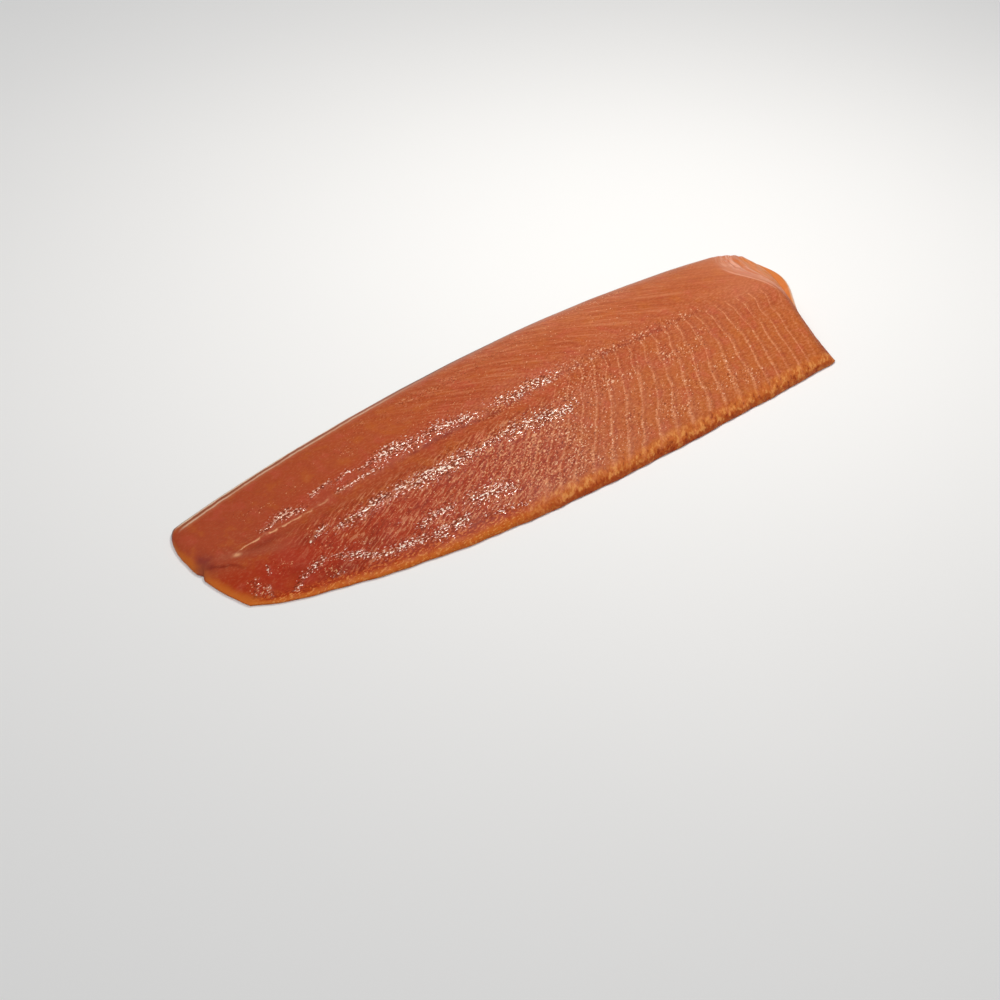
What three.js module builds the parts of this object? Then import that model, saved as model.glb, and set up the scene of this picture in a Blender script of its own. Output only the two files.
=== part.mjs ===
// A whole side of smoked salmon: one boneless fillet that lies on its skin side.
// Millimetres, +Z up, +X towards the head end, +Y towards the back of the fish.
// The origin is at the middle of the underside.
//
// Places on the fillet are given by two shares: t runs from 0 at the tail cut to 1 at the
// head cut, and s runs from -1 at the belly edge to 1 at the back edge. A range such as
// { start, full } is a stretch of t or s over which something comes in.

import * as THREE from 'three';

const { lerp, smoothstep } = THREE.MathUtils;

// Driving dimensions
const filletLength = 554;
const filletWidth = 179;
const loinThickness = 25.5; // thickest part, behind the head cut
const tailThickness = 6;

// Outline: control points of the two long edges, as shares of the length and the width
const bellyEdge = edgeCurve([[-0.483, -0.243], [-0.229, -0.546], [-0.005, -0.518], [0.411, -0.471]]);
const backEdge = edgeCurve([[-0.5, 0.302], [-0.252, 0.516], [0.283, 0.591], [0.497, 0.349]]);

// Slow unevenness of the belly edge: waves along the whole side, their height and start
const edgeWaves = [
  { count: 7.3, height: 0.35, turn: 1.1 },
  { count: 18.7, height: 0.25, turn: 0.4 },
];

// Corners cut off the outline: how far they are trimmed, over which length of the edge
const tailCornerBack = { trim: 20, span: 20 };
const tailCornerBelly = { trim: 4, span: 36 };
const headCornerBack = { trim: 4, span: 20 };
const headCornerBelly = { trim: 1.5, span: 6 };

// The two cut ends, as seen from above: how far each feature reaches, and where it sits on s
const tailBulge = { reach: -5, span: 30 };
const tailNotch = { reach: 1.8, span: 10, at: 0.18, spread: 0.07 };
const collarFlap = { reach: 16, span: 45, at: 0.44, spread: 0.5 };
const collarStep = { reach: -2, span: 14, at: 0.93, spread: 0.045 };

// The head cut rounds over from the loin, gently at the collar, and ends in the thin collar flap
const headCut = { sharpness: 1.7, bulge: 1.3, length: 12, collar: 36, at: 0.72, spread: 0.45 };
const flapLength = 9;
const flapShare = 0.17; // the flap's share of the meat's thickness

// Cross-section: the belly wall is thinner than the loin, and thinnest near the tail
const loinSwell = { start: -0.08, full: 0.66 };
const bellyShare = { tail: 0.2, head: 0.25, start: 0.15, full: 0.6 };
const wallRise = { start: -1.4, full: 0.5 };
const backFall = { share: 0.12, start: 0.45, full: 1 };

// Round edges: a higher sharpness keeps the top flat for longer, a higher bulge rounds it fuller
const bellyRounding = { sharpness: 13, bulge: 1.8 };
const backRounding = { sharpness: 6, bulge: 2.2 };
const tailRounding = { sharpness: 2, bulge: 1.4, span: 24 };
const flapRounding = { sharpness: 2.5, bulge: 2.2, span: 5 };
const footHeight = 1.5; // height of the outline above the surface it lies on
const footInset = 1.3; // how far the underside stands in from the outline

// Muscle ridges and the pin-bone hollow beside the mid line: place from it, spread, height
const midLine = { tail: 0.06, head: 0.14 };
const longRelief = [
  { offset: 0.24, spread: 0.12, height: 1.2 },
  { offset: -0.04, spread: 0.1, height: -1.5 },
  { offset: -0.24, spread: 0.12, height: 1.0 },
];
const reliefIn = { start: 0, full: 0.25 };
const reliefOut = { start: 0.35, full: 0.95 };

// Flakes: muscle blocks whose seams leave an apex line and lean, mostly towards the tail
const flakeCount = 63;
const flakeCrowding = 0.04; // how much narrower flakes are in the tail half than in the head half
const apexLine = 0.13;
const bellyLean = { tail: 0.19, head: -0.02, start: 0.42, full: 0.95 };
const backLean = { tail: 0.2, head: 0.16, start: 0.5, full: 1 };
const leanIn = { start: 0, full: 0.55 };
const leanOut = { start: 0.85, full: 1 };

// Flakes stand out in the belly of the head half and fade towards the loin and the tail
const flakeDepth = 0.5;
const scallopDepth = 0.8; // nicks of the belly edge between flakes
const flakesIn = { start: 0.3, full: 0.6 };
const flakesOut = { start: 0.9, full: 0.99 };
const loinFlakes = { share: 0.35, start: -0.1, full: 0.5 };
const backFlakes = { share: 0, start: 0.7, full: 1 };

// Mesh: two columns a flake, finer columns at the head cut, rows crowded towards the edges
const headColumns = { count: 6, span: 10, crowding: 1.6, gap: 2 };
const rowCount = 41;
const rowCrowding = 0.6;

function edgeCurve(shares) {
  const points = shares.map(([x, y]) => new THREE.Vector2(x * filletLength, y * filletWidth));
  return new THREE.CubicBezierCurve(...points);
}

// A smooth hill of height 1
function hump(x, { at, spread }) {
  return Math.exp(-(((x - at) / spread) ** 2));
}

// Rises smoothly from 0 to 1 over a range
function ramp(x, { start, full }) {
  return smoothstep(x, start, full);
}

// Falls smoothly from 1 at an end of the fillet to 0 at the end of a feature's span
function nearEnd(distance, { span }) {
  return 1 - smoothstep(distance, 0, span);
}

// Falls from 1 inside to 0 at an edge, where out is 1
function rounding(out, { sharpness, bulge }) {
  return (1 - Math.max(0, out) ** sharpness) ** (1 / bulge);
}

function cornerTrim(distance, { trim, span }) {
  return trim * Math.max(0, 1 - distance / span) ** 2;
}

function edgeWave(t) {
  return edgeWaves.reduce((sum, w) => sum + w.height * Math.sin(2 * Math.PI * w.count * t + w.turn), 0);
}

// Where a place on the fillet lies, seen from above
function planPoint(t, s) {
  const fromTail = t * filletLength;
  const fromHead = (1 - t) * filletLength;
  const belly = bellyEdge.getPoint(t);
  const back = backEdge.getPoint(t);
  const across = back.clone().sub(belly).normalize();
  const bellyTrim = cornerTrim(fromTail, tailCornerBelly) + cornerTrim(fromHead, headCornerBelly);
  const backTrim = cornerTrim(fromTail, tailCornerBack) + cornerTrim(fromHead, headCornerBack);
  belly.addScaledVector(across, bellyTrim + edgeWave(t));
  back.addScaledVector(across, -backTrim);
  const point = belly.lerp(back, (s + 1) / 2);
  for (const feature of [collarFlap, collarStep]) {
    point.x += feature.reach * hump(s, feature) * nearEnd(fromHead, feature);
  }
  point.x += tailNotch.reach * hump(s, tailNotch) * nearEnd(fromTail, tailNotch);
  point.x += tailBulge.reach * (1 - s * s) * nearEnd(fromTail, tailBulge);
  return point;
}

// Thickness of the meat before the edges are rounded
function meatThickness(t, s) {
  const along = lerp(tailThickness, loinThickness, ramp(t, loinSwell));
  const wall = lerp(bellyShare.tail, bellyShare.head, ramp(t, bellyShare));
  return along * lerp(wall, 1, ramp(s, wallRise)) * (1 - backFall.share * ramp(s, backFall));
}

// Ridges and hollows along the mid line, fading out at both ends
function longReliefHeight(t, s) {
  const line = lerp(midLine.tail, midLine.head, t);
  const show = ramp(t, reliefIn) * (1 - ramp(t, reliefOut));
  return longRelief.reduce((sum, { offset, spread, height }) => {
    return sum + show * height * hump(s, { at: line + offset, spread });
  }, 0);
}

// How the long edges round over, from 1 inside to 0 at the outline
function edgeRounding(s) {
  return s < 0 ? rounding(-s, bellyRounding) : rounding(s, backRounding);
}

// How the tail rounds over, and how the head cut comes down to the surface or to the flap
function endRounding(t, s) {
  const fromTail = t * filletLength;
  const fromHead = (1 - t) * filletLength;
  const tail = rounding(1 - fromTail / tailRounding.span, tailRounding);
  const flap = rounding(1 - fromHead / flapRounding.span, flapRounding);
  const flapHere = hump(s, collarFlap);
  const cutLength = headCut.length + headCut.collar * hump(s, headCut);
  const cut = rounding(Math.min(1, 1 - (fromHead - flapLength * flapHere) / cutLength), headCut);
  return tail * lerp(cut, flap, flapShare * flapHere);
}

function topHeight(t, s, flakeRelief) {
  const meat = meatThickness(t, s) + longReliefHeight(t, s) + flakeRelief;
  return footHeight + (meat - footHeight) * edgeRounding(s) * endRounding(t, s);
}

// How far a flake's seam has leaned towards the tail, at s, from its place on the apex line
function seamLean(apexShare, s) {
  const lean = s < apexLine ? bellyLean : backLean;
  const reach = s < apexLine ? (apexLine - s) / (apexLine + 1) : (s - apexLine) / (1 - apexLine);
  const shown = ramp(apexShare, leanIn) * (1 - ramp(apexShare, leanOut));
  return lerp(lean.tail, lean.head, ramp(apexShare, lean)) * shown * reach;
}

function flakeShow(t, s) {
  const along = ramp(t, flakesIn) * (1 - ramp(t, flakesOut));
  const loin = lerp(1, loinFlakes.share, ramp(s, loinFlakes));
  return along * loin * lerp(1, backFlakes.share, ramp(s, backFlakes));
}

// Columns of the mesh: each flake has its seam and its crest, and the head cut its own columns
function meshColumns() {
  const columns = [];
  const headStart = 1 - (headColumns.span + headColumns.gap) / filletLength;
  for (let half = 0; half <= 2 * flakeCount; half += 1) {
    const even = half / (2 * flakeCount);
    const share = even - flakeCrowding * (1 - Math.cos(2 * Math.PI * even));
    if (share < headStart) columns.push({ share, seam: half % 2 === 0 });
  }
  for (let k = headColumns.count; k >= 0; k -= 1) {
    const fromHead = headColumns.span * (k / headColumns.count) ** headColumns.crowding;
    columns.push({ share: 1 - fromHead / filletLength, seam: false });
  }
  return columns;
}

// Rows of the mesh, from the belly edge to the back edge
function meshRows() {
  return Array.from({ length: rowCount }, (_, row) => {
    const even = (2 * row) / (rowCount - 1) - 1;
    return lerp(even, Math.sin((even * Math.PI) / 2), rowCrowding);
  });
}

function filletGeometry() {
  const columns = meshColumns();
  const rows = meshRows();
  const lastColumn = columns.length - 1;
  const lastRow = rows.length - 1;
  const vertices = [];
  const shares = [];
  const triangles = [];

  // The shown side: a grid whose columns follow the flakes' seams
  for (const { share, seam } of columns) {
    for (const s of rows) {
      const t = share - seamLean(share, s);
      const point = planPoint(t, s);
      const cut = seam ? flakeShow(t, s) : 0;
      if (s === rows[0]) point.y += scallopDepth * cut;
      vertices.push(new THREE.Vector3(point.x, point.y, topHeight(t, s, -flakeDepth * cut)));
      shares.push([t, s]);
    }
  }
  const at = (column, row) => column * rows.length + row;
  for (let i = 0; i < lastColumn; i += 1) {
    for (let j = 0; j < lastRow; j += 1) {
      triangles.push([at(i, j), at(i + 1, j), at(i + 1, j + 1)]);
      triangles.push([at(i, j), at(i + 1, j + 1), at(i, j + 1)]);
    }
  }

  // The outline, once round: belly edge, head cut, back edge, tail cut
  const outline = [];
  for (let i = 0; i < lastColumn; i += 1) outline.push(at(i, 0));
  for (let j = 0; j < lastRow; j += 1) outline.push(at(lastColumn, j));
  for (let i = lastColumn; i > 0; i -= 1) outline.push(at(i, lastRow));
  for (let j = lastRow; j > 0; j -= 1) outline.push(at(0, j));

  // The edge turns under to the foot, which the flat underside fills
  const endInset = footInset / filletLength;
  const sideInset = (2 * footInset) / filletWidth;
  const footStart = vertices.length;
  const foot = outline.map((index) => {
    const [t, s] = shares[index];
    return planPoint(lerp(endInset, 1 - endInset, t), s * (1 - sideInset));
  });
  foot.forEach(({ x, y }) => vertices.push(new THREE.Vector3(x, y, 0)));
  outline.forEach((upper, k) => {
    const next = (k + 1) % outline.length;
    triangles.push([upper, footStart + k, footStart + next]);
    triangles.push([upper, footStart + next, outline[next]]);
  });
  for (const [a, b, c] of THREE.ShapeUtils.triangulateShape(foot, [])) {
    triangles.push([footStart + a, footStart + c, footStart + b]);
  }

  const geometry = new THREE.BufferGeometry().setFromPoints(vertices);
  geometry.setIndex(triangles.flat());
  geometry.computeBoundingBox();
  const middle = geometry.boundingBox.getCenter(new THREE.Vector3());
  geometry.translate(-middle.x, -middle.y, 0);
  geometry.computeVertexNormals();
  return geometry;
}

const curedFlesh = new THREE.MeshStandardMaterial({ color: 0xb25c3a, roughness: 0.35, metalness: 0 });

const salmonSide = new THREE.Mesh(filletGeometry(), curedFlesh);
salmonSide.name = 'smoked_salmon_side';

const part = new THREE.Group();
part.add(salmonSide);

export default part;
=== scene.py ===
import math

import bpy
import numpy as np
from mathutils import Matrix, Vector


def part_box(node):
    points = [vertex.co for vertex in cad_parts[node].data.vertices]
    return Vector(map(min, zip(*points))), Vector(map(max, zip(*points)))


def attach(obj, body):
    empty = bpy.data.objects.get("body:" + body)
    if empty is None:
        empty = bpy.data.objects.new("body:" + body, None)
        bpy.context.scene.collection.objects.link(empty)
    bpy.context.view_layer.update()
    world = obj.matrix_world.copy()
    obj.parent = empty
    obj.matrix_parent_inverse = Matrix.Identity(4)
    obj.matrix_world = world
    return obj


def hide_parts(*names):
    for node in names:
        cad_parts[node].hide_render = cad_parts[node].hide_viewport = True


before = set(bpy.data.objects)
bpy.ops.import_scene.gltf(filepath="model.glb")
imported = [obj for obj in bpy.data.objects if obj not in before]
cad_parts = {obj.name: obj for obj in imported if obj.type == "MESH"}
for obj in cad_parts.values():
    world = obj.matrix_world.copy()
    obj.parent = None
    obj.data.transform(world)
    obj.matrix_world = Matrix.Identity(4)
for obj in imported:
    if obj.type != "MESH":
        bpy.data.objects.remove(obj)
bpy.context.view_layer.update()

mm = 0.001

# The side of salmon, in millimetres. t runs from the tail cut (0) to the head cut (1),
# s from the belly edge (-1) to the back edge (1). Rises and falls give where they start and end.
fillet = {
    "node": "smoked_salmon_side",
    "length": 554.0,
    "width": 179.0,
    "loinThickness": 25.5,
    "tailThickness": 6.0,
    "loinRise": (-0.08, 0.66),  # on t
    "bellyShare": (0.2, 0.25),  # the belly wall's share of the loin, tail and head
    "bellyRise": (0.15, 0.6),  # on t
    "wallRise": (-1.4, 0.5),  # on s, from the belly wall up to the loin
    "backDrop": 0.12,
    "backFall": (0.45, 1.0),  # on s
    "bellyEdge": [(-0.483, -0.243), (-0.229, -0.546), (-0.005, -0.518), (0.411, -0.471)],
    "backEdge": [(-0.5, 0.302), (-0.252, 0.516), (0.283, 0.591), (0.497, 0.349)],
    "edgeWaves": [(7.3, 0.35, 1.1), (18.7, 0.25, 0.4)],  # count, height, turn
    "tailCornerBack": (20.0, 20.0),  # trim, over this much of the edge
    "tailCornerBelly": (4.0, 36.0),
    "headCornerBack": (4.0, 20.0),
    "headCornerBelly": (1.5, 6.0),
    "tailBulge": (-5.0, 30.0),  # reach, span
    "tailNotch": (1.8, 10.0, 0.18, 0.07),  # reach, span, place on s, spread
    "collarFlap": (16.0, 45.0, 0.44, 0.5),
    "collarStep": (-2.0, 14.0, 0.93, 0.045),
    "headCut": (12.0, 36.0, 0.72, 0.45),  # length, how much longer at the collar, its place, spread
    "flapLength": 9.0,
    "flapShare": 0.17,
    "bellyRounding": (13.0, 1.8),  # sharpness, bulge and, at the tail and the flap, span
    "backRounding": (6.0, 2.2),
    "tailRounding": (2.0, 1.4, 24.0),
    "headRounding": (1.7, 1.3),
    "flapRounding": (2.5, 2.2, 5.0),
    "footHeight": 1.5,
    "footInset": 1.3,
    "footRings": 3,
    "midLine": (0.06, 0.14),  # tail, head
    "longRelief": [(0.24, 0.12, 1.2), (-0.04, 0.1, -1.5), (-0.24, 0.12, 1.0)],  # offset, spread, height
    "reliefRise": (0.0, 0.25),  # on t
    "reliefFall": (0.35, 0.95),
    "flakes": 63,
    "flakeCrowding": 0.04,
    "flakeRise": (0.3, 0.6),  # on t
    "flakeFall": (0.9, 0.99),
    "loinFlakes": (0.35, -0.1, 0.5),  # share left on the loin, and where on s it falls to that
    "flakeBackFall": (0.7, 1.0),
    "apexLine": 0.13,
    "bellyLean": (0.19, -0.02, 0.42, 0.95),  # tail, head, and where it changes
    "backLean": (0.2, 0.16, 0.5, 1.0),
    "leanRise": (0.0, 0.55),
    "leanFall": (0.85, 1.0),
    "scallopDepth": 0.8,
    "columns": (640, 0.25),  # count, how much closer at the ends
    "rows": (140, 0.45),
}


def smooth(x, start, full):
    x = np.clip((x - start) / (full - start), 0.0, 1.0)
    return x * x * (3.0 - 2.0 * x)


def hump(x, at, spread):
    return np.exp(-(((x - at) / spread) ** 2))


def lerp(a, b, share):
    return a + (b - a) * share


# from start to end, and nowhere else
def between(x, start, end, ease):
    return smooth(x, start, start + ease) * (1.0 - smooth(x, end - ease, end))


def rounding(out, sharpness, bulge):
    return (1.0 - np.clip(out, 0.0, 1.0) ** sharpness) ** (1.0 / bulge)


def cornerTrim(distance, corner):
    trim, span = corner
    return trim * np.maximum(0.0, 1.0 - distance / span) ** 2


# smooth random hills, -1 to 1, about one every size
def lumps(x, y, size, seed):
    count = 256
    clear = 100.0  # cells, so that no place is below zero
    table = np.random.default_rng(seed).uniform(-1.0, 1.0, (count, count))
    u = x / size + clear
    v = y / size + clear
    i = np.floor(u).astype(int)
    j = np.floor(v).astype(int)
    a = smooth(u - i, 0.0, 1.0)
    b = smooth(v - j, 0.0, 1.0)
    near = lerp(table[i % count, j % count], table[(i + 1) % count, j % count], a)
    far = lerp(table[i % count, (j + 1) % count], table[(i + 1) % count, (j + 1) % count], a)
    return lerp(near, far, b)


def edgeLine(shares, t):
    a, b, c, d = (np.array(p) * (fillet["length"], fillet["width"]) for p in shares)
    t = t[..., None]
    u = 1.0 - t
    return a * u**3 + 3.0 * b * t * u**2 + 3.0 * c * t**2 * u + d * t**3


# where a place on the fillet lies, seen from above
def planPoint(t, s):
    fromTail = t * fillet["length"]
    fromHead = (1.0 - t) * fillet["length"]
    belly = edgeLine(fillet["bellyEdge"], t)
    back = edgeLine(fillet["backEdge"], t)
    across = back - belly
    across /= np.linalg.norm(across, axis=-1, keepdims=True)
    inward = cornerTrim(fromTail, fillet["tailCornerBelly"]) + cornerTrim(fromHead, fillet["headCornerBelly"])
    for count, height, turn in fillet["edgeWaves"]:
        inward = inward + height * np.sin(2.0 * np.pi * count * t + turn)
    outward = cornerTrim(fromTail, fillet["tailCornerBack"]) + cornerTrim(fromHead, fillet["headCornerBack"])
    belly = belly + across * inward[..., None]
    back = back - across * outward[..., None]
    point = lerp(belly, back, ((s + 1.0) / 2.0)[..., None])
    x, y = point[..., 0], point[..., 1]
    for reach, span, at, spread in (fillet["collarFlap"], fillet["collarStep"]):
        x = x + reach * hump(s, at, spread) * (1.0 - smooth(fromHead, 0.0, span))
    reach, span, at, spread = fillet["tailNotch"]
    x = x + reach * hump(s, at, spread) * (1.0 - smooth(fromTail, 0.0, span))
    reach, span = fillet["tailBulge"]
    x = x + reach * (1.0 - s * s) * (1.0 - smooth(fromTail, 0.0, span))
    return x, y


def meatThickness(t, s):
    along = lerp(fillet["tailThickness"], fillet["loinThickness"], smooth(t, *fillet["loinRise"]))
    wall = lerp(*fillet["bellyShare"], smooth(t, *fillet["bellyRise"]))
    back = 1.0 - fillet["backDrop"] * smooth(s, *fillet["backFall"])
    return along * lerp(wall, 1.0, smooth(s, *fillet["wallRise"])) * back


def longReliefHeight(t, s):
    line = lerp(*fillet["midLine"], t)
    show = smooth(t, *fillet["reliefRise"]) * (1.0 - smooth(t, *fillet["reliefFall"]))
    return sum(show * height * hump(s, line + offset, spread)
               for offset, spread, height in fillet["longRelief"])


# how far up the head cut a place is, from 0 at the flap to 1 on the loin
def cutShare(t, s):
    length, collar, at, spread = fillet["headCut"]
    flapHere = hump(s, *fillet["collarFlap"][2:])
    fromFlap = (1.0 - t) * fillet["length"] - fillet["flapLength"] * flapHere
    return np.clip(fromFlap / (length + collar * hump(s, at, spread)), 0.0, 1.0)


def edgeRounding(t, s, cut):
    fromTail = t * fillet["length"]
    fromHead = (1.0 - t) * fillet["length"]

    def endRounding(distance, settings):
        sharpness, bulge, span = settings
        return rounding(1.0 - distance / span, sharpness, bulge)

    sides = np.where(s < 0.0, rounding(-s, *fillet["bellyRounding"]), rounding(s, *fillet["backRounding"]))
    tail = endRounding(fromTail, fillet["tailRounding"])
    flap = endRounding(fromHead, fillet["flapRounding"])
    flapHere = hump(s, *fillet["collarFlap"][2:])
    head = lerp(rounding(1.0 - cut, *fillet["headRounding"]), flap, fillet["flapShare"] * flapHere)
    return sides * tail * head


# which flake a place is in: whole numbers are the seams between flakes
def flakeNumber(t, s):
    apex = fillet["apexLine"]
    down = np.clip((apex - s) / (apex + 1.0), 0.0, 1.0)
    up = np.clip((s - apex) / (1.0 - apex), 0.0, 1.0)

    def lean(settings, share):
        tail, head, start, full = settings
        return lerp(tail, head, smooth(share, start, full))

    rounds = 16  # the lean depends on where the seam starts, so this closes in on it
    share = t
    for _ in range(rounds):
        shown = smooth(share, *fillet["leanRise"]) * (1.0 - smooth(share, *fillet["leanFall"]))
        share = t + shown * (down * lean(fillet["bellyLean"], share) + up * lean(fillet["backLean"], share))
    steps = 500
    even = np.linspace(0.0, 1.0, steps)
    places = even - fillet["flakeCrowding"] * (1.0 - np.cos(2.0 * np.pi * even))
    return fillet["flakes"] * np.interp(share, places, even)


def flakeShow(t, s):
    left, start, full = fillet["loinFlakes"]
    along = smooth(t, *fillet["flakeRise"]) * (1.0 - smooth(t, *fillet["flakeFall"]))
    return along * lerp(1.0, left, smooth(s, start, full)) * (1.0 - smooth(s, *fillet["flakeBackFall"]))


# The worked surface: relief in millimetres, and where the flesh is wet or grainy
surface = {
    "flakeDepth": 0.28,
    "grooveSharpness": 3,
    "scallopSharpness": 2,
    "seamWander": [(22.0, 0.16), (9.0, 0.05)],  # size, share of a flake
    "seamKink": (-0.35, -0.12, -0.3),  # share of a flake, and where on s the seams step over
    "seamHook": (0.4, -0.02, 0.14),
    "swells": [(26.0, 0.3), (11.0, 0.16)],  # size, height
    "wetGrains": (3.4, 0.16, 0.6),  # size, height, and how squeezed places are along them
    "rimRags": [(7.0, 0.5), (3.0, 0.25)],
    "rimRise": (-0.9, -0.96),
    "tailRags": (7.0, 0.8),
    "scallopRise": (-0.94, -1.0),
    "fibreTurn": 26.0,  # degrees from the length of the side
    "glintTurn": 6.0,
    "terraces": (5.0, 0.8, 0.9, 14.0),  # layers of the collar's cut, how stepped, how uneven, size
    # the mid line: its place at each t
    "midSeam": ([0.05, 0.075, 0.1, 0.19, 0.25, 0.32, 0.45, 0.5, 0.55, 0.6, 0.9],
                [-0.01, 0.05, 0.065, 0.07, 0.12, 0.115, 0.105, 0.07, 0.1, 0.125, 0.14]),
    # wet bands along the side: place and strength at each t, spread
    "ridgeBand": ([0.10, 0.13, 0.30, 0.32, 0.38, 0.45, 0.48, 0.51, 0.57, 0.62, 0.85],
                  [0.12, 0.14, 0.20, 0.22, 0.20, 0.16, 0.15, 0.12, 0.14, 0.14, 0.14],
                  [0.0, 0.15, 0.15, 0.4, 0.4, 0.4, 0.4, 0.5, 0.4, 0.1, 0.0], 0.07),
    "wallBand": ([0.14, 0.18, 0.24, 0.28, 0.40, 0.59, 0.64],
                 [-0.33, -0.24, -0.26, -0.21, -0.23, -0.22, -0.20],
                 [0.0, 0.25, 0.35, 0.4, 0.5, 0.55, 0.0], 0.08),
    # wet strokes: both ends as t and s, spread in millimetres
    "ridgeStrokes": [
        (0.115, 0.13, 0.165, 0.22, 3.5), (0.15, 0.16, 0.18, 0.14, 3.0), (0.205, 0.22, 0.24, 0.26, 2.5),
        (0.25, 0.23, 0.27, 0.25, 2.0), (0.285, 0.21, 0.31, 0.22, 1.6), (0.24, 0.12, 0.31, 0.13, 1.6),
        (0.315, 0.23, 0.345, 0.24, 5.0), (0.35, 0.2, 0.375, 0.19, 5.0), (0.39, 0.19, 0.41, 0.2, 4.0),
        (0.405, 0.2, 0.455, 0.15, 4.5), (0.505, 0.16, 0.54, 0.11, 4.0), (0.55, 0.16, 0.585, 0.12, 4.0)],
    "wallStrokes": [
        (0.155, -0.31, 0.185, -0.2, 2.0), (0.205, -0.27, 0.25, -0.25, 3.5), (0.268, -0.22, 0.29, -0.22, 5.0),
        (0.312, -0.19, 0.325, -0.2, 5.0), (0.335, -0.23, 0.357, -0.21, 5.0), (0.365, -0.2, 0.385, -0.22, 4.5),
        (0.39, -0.23, 0.43, -0.22, 5.0), (0.44, -0.22, 0.49, -0.19, 2.6), (0.505, -0.18, 0.545, -0.22, 6.0),
        (0.55, -0.22, 0.565, -0.23, 5.0), (0.58, -0.26, 0.595, -0.24, 4.0)],
    "bellyStrokes": [
        (0.02, -0.85, 0.045, -0.5, 2.5), (0.036, -0.9, 0.05, -0.66, 2.5), (0.065, -0.5, 0.075, -0.36, 1.5),
        (0.072, -0.88, 0.1, -0.72, 2.5), (0.105, -0.7, 0.15, -0.56, 4.0), (0.135, -0.86, 0.155, -0.83, 1.8),
        (0.17, -0.62, 0.2, -0.68, 4.5), (0.205, -0.73, 0.235, -0.8, 5.0), (0.245, -0.79, 0.26, -0.79, 4.0),
        (0.27, -0.79, 0.297, -0.79, 5.0), (0.305, -0.66, 0.32, -0.63, 4.5), (0.33, -0.61, 0.36, -0.6, 3.5),
        (0.315, -0.85, 0.33, -0.86, 3.5), (0.32, -0.79, 0.37, -0.77, 5.0), (0.4, -0.63, 0.455, -0.67, 6.0),
        (0.4, -0.84, 0.468, -0.88, 2.5)],
    "strokeLeast": 0.85,  # strength of a stroke between clusters
    "bellyGlints": (0.1, (0.08, 0.5, 0.1), (-0.86, -0.45, 0.08)),  # strength; start, end, ease on t and s
    "tailGlints": (0.7, 0.04, 0.08),  # strength at the tail, and where on t it rises to whole
    "glintClusters": (12.0, 5.0, 0.5),  # size, size of the finer ones, ease
    "grainClusters": (13.0, 5.0, 0.6),
    "grainPatch": (0.6, -0.05, 0.67, 0.0, 6.0),  # as a stroke
    # how grainy each place is
    "grainShares": {
        "bellyAtTail": 0.45,
        "betweenClusters": 0.6,
        "tail": 0.7,
        "tailRow": 1.4,
        "rim": 0.3,
        "dots": 0.9,
        "dotRow": 1.1,
        "dotField": 0.7,
        "nearSeam": 0.3,
        "farBelt": 0.6,
        "midLine": (0.8, 1.1),  # between clusters, and in them
        "pores": 0.6,
        "everywhere": 0.2,
        "lostWhereWet": 0.7,
    },
    "seeds": {"seamWander": 1, "swells": 3, "wetGrains": 7, "rimRags": 8, "terraces": 10, "glint": 11,
              "tailRags": 13, "grainy": 14},
}


def bandMark(band, t, s):
    at, place, strength, spread = band
    return np.interp(t, at, strength) * hump(s, np.interp(t, at, place), spread)


def streakMark(streak, t, s):
    scale = np.array([fillet["length"], 0.5 * fillet["width"]])
    start = np.array(streak[0:2]) * scale
    reach = np.array(streak[2:4]) * scale - start
    here = np.stack([t, s], -1) * scale - start
    share = np.clip((here @ reach) / (reach @ reach), 0.0, 1.0)
    away = np.linalg.norm(here - share[..., None] * reach, axis=-1)
    return hump(away, 0.0, streak[4])


# several marks laid over each other
def together(marks):
    return 1.0 - np.prod([1.0 - np.clip(mark, 0.0, 1.0) for mark in marks], 0)


def clustersAt(x, y, settings, seed):
    size, finer, ease = settings
    return smooth(lumps(x, y, size, seed) + 0.5 * lumps(x, y, finer, seed + 1), -ease, ease)


# where grains of the flesh stand up and shine
def glintMark(t, s, x, y):
    clusters = clustersAt(x, y, surface["glintClusters"], surface["seeds"]["glint"])
    marks = [clusters * bandMark(surface[band], t, s) for band in ("ridgeBand", "wallBand")]
    strength = lerp(surface["strokeLeast"], 1.0, clusters)
    for strokes in ("ridgeStrokes", "wallStrokes", "bellyStrokes"):
        marks += [strength * streakMark(streak, t, s) for streak in surface[strokes]]
    strength, along, across = surface["bellyGlints"]
    marks.append(strength * clusters * between(t, *along) * between(s, *across))
    strength, start, full = surface["tailGlints"]
    return together(marks) * lerp(strength, 1.0, smooth(t, start, full))


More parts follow.
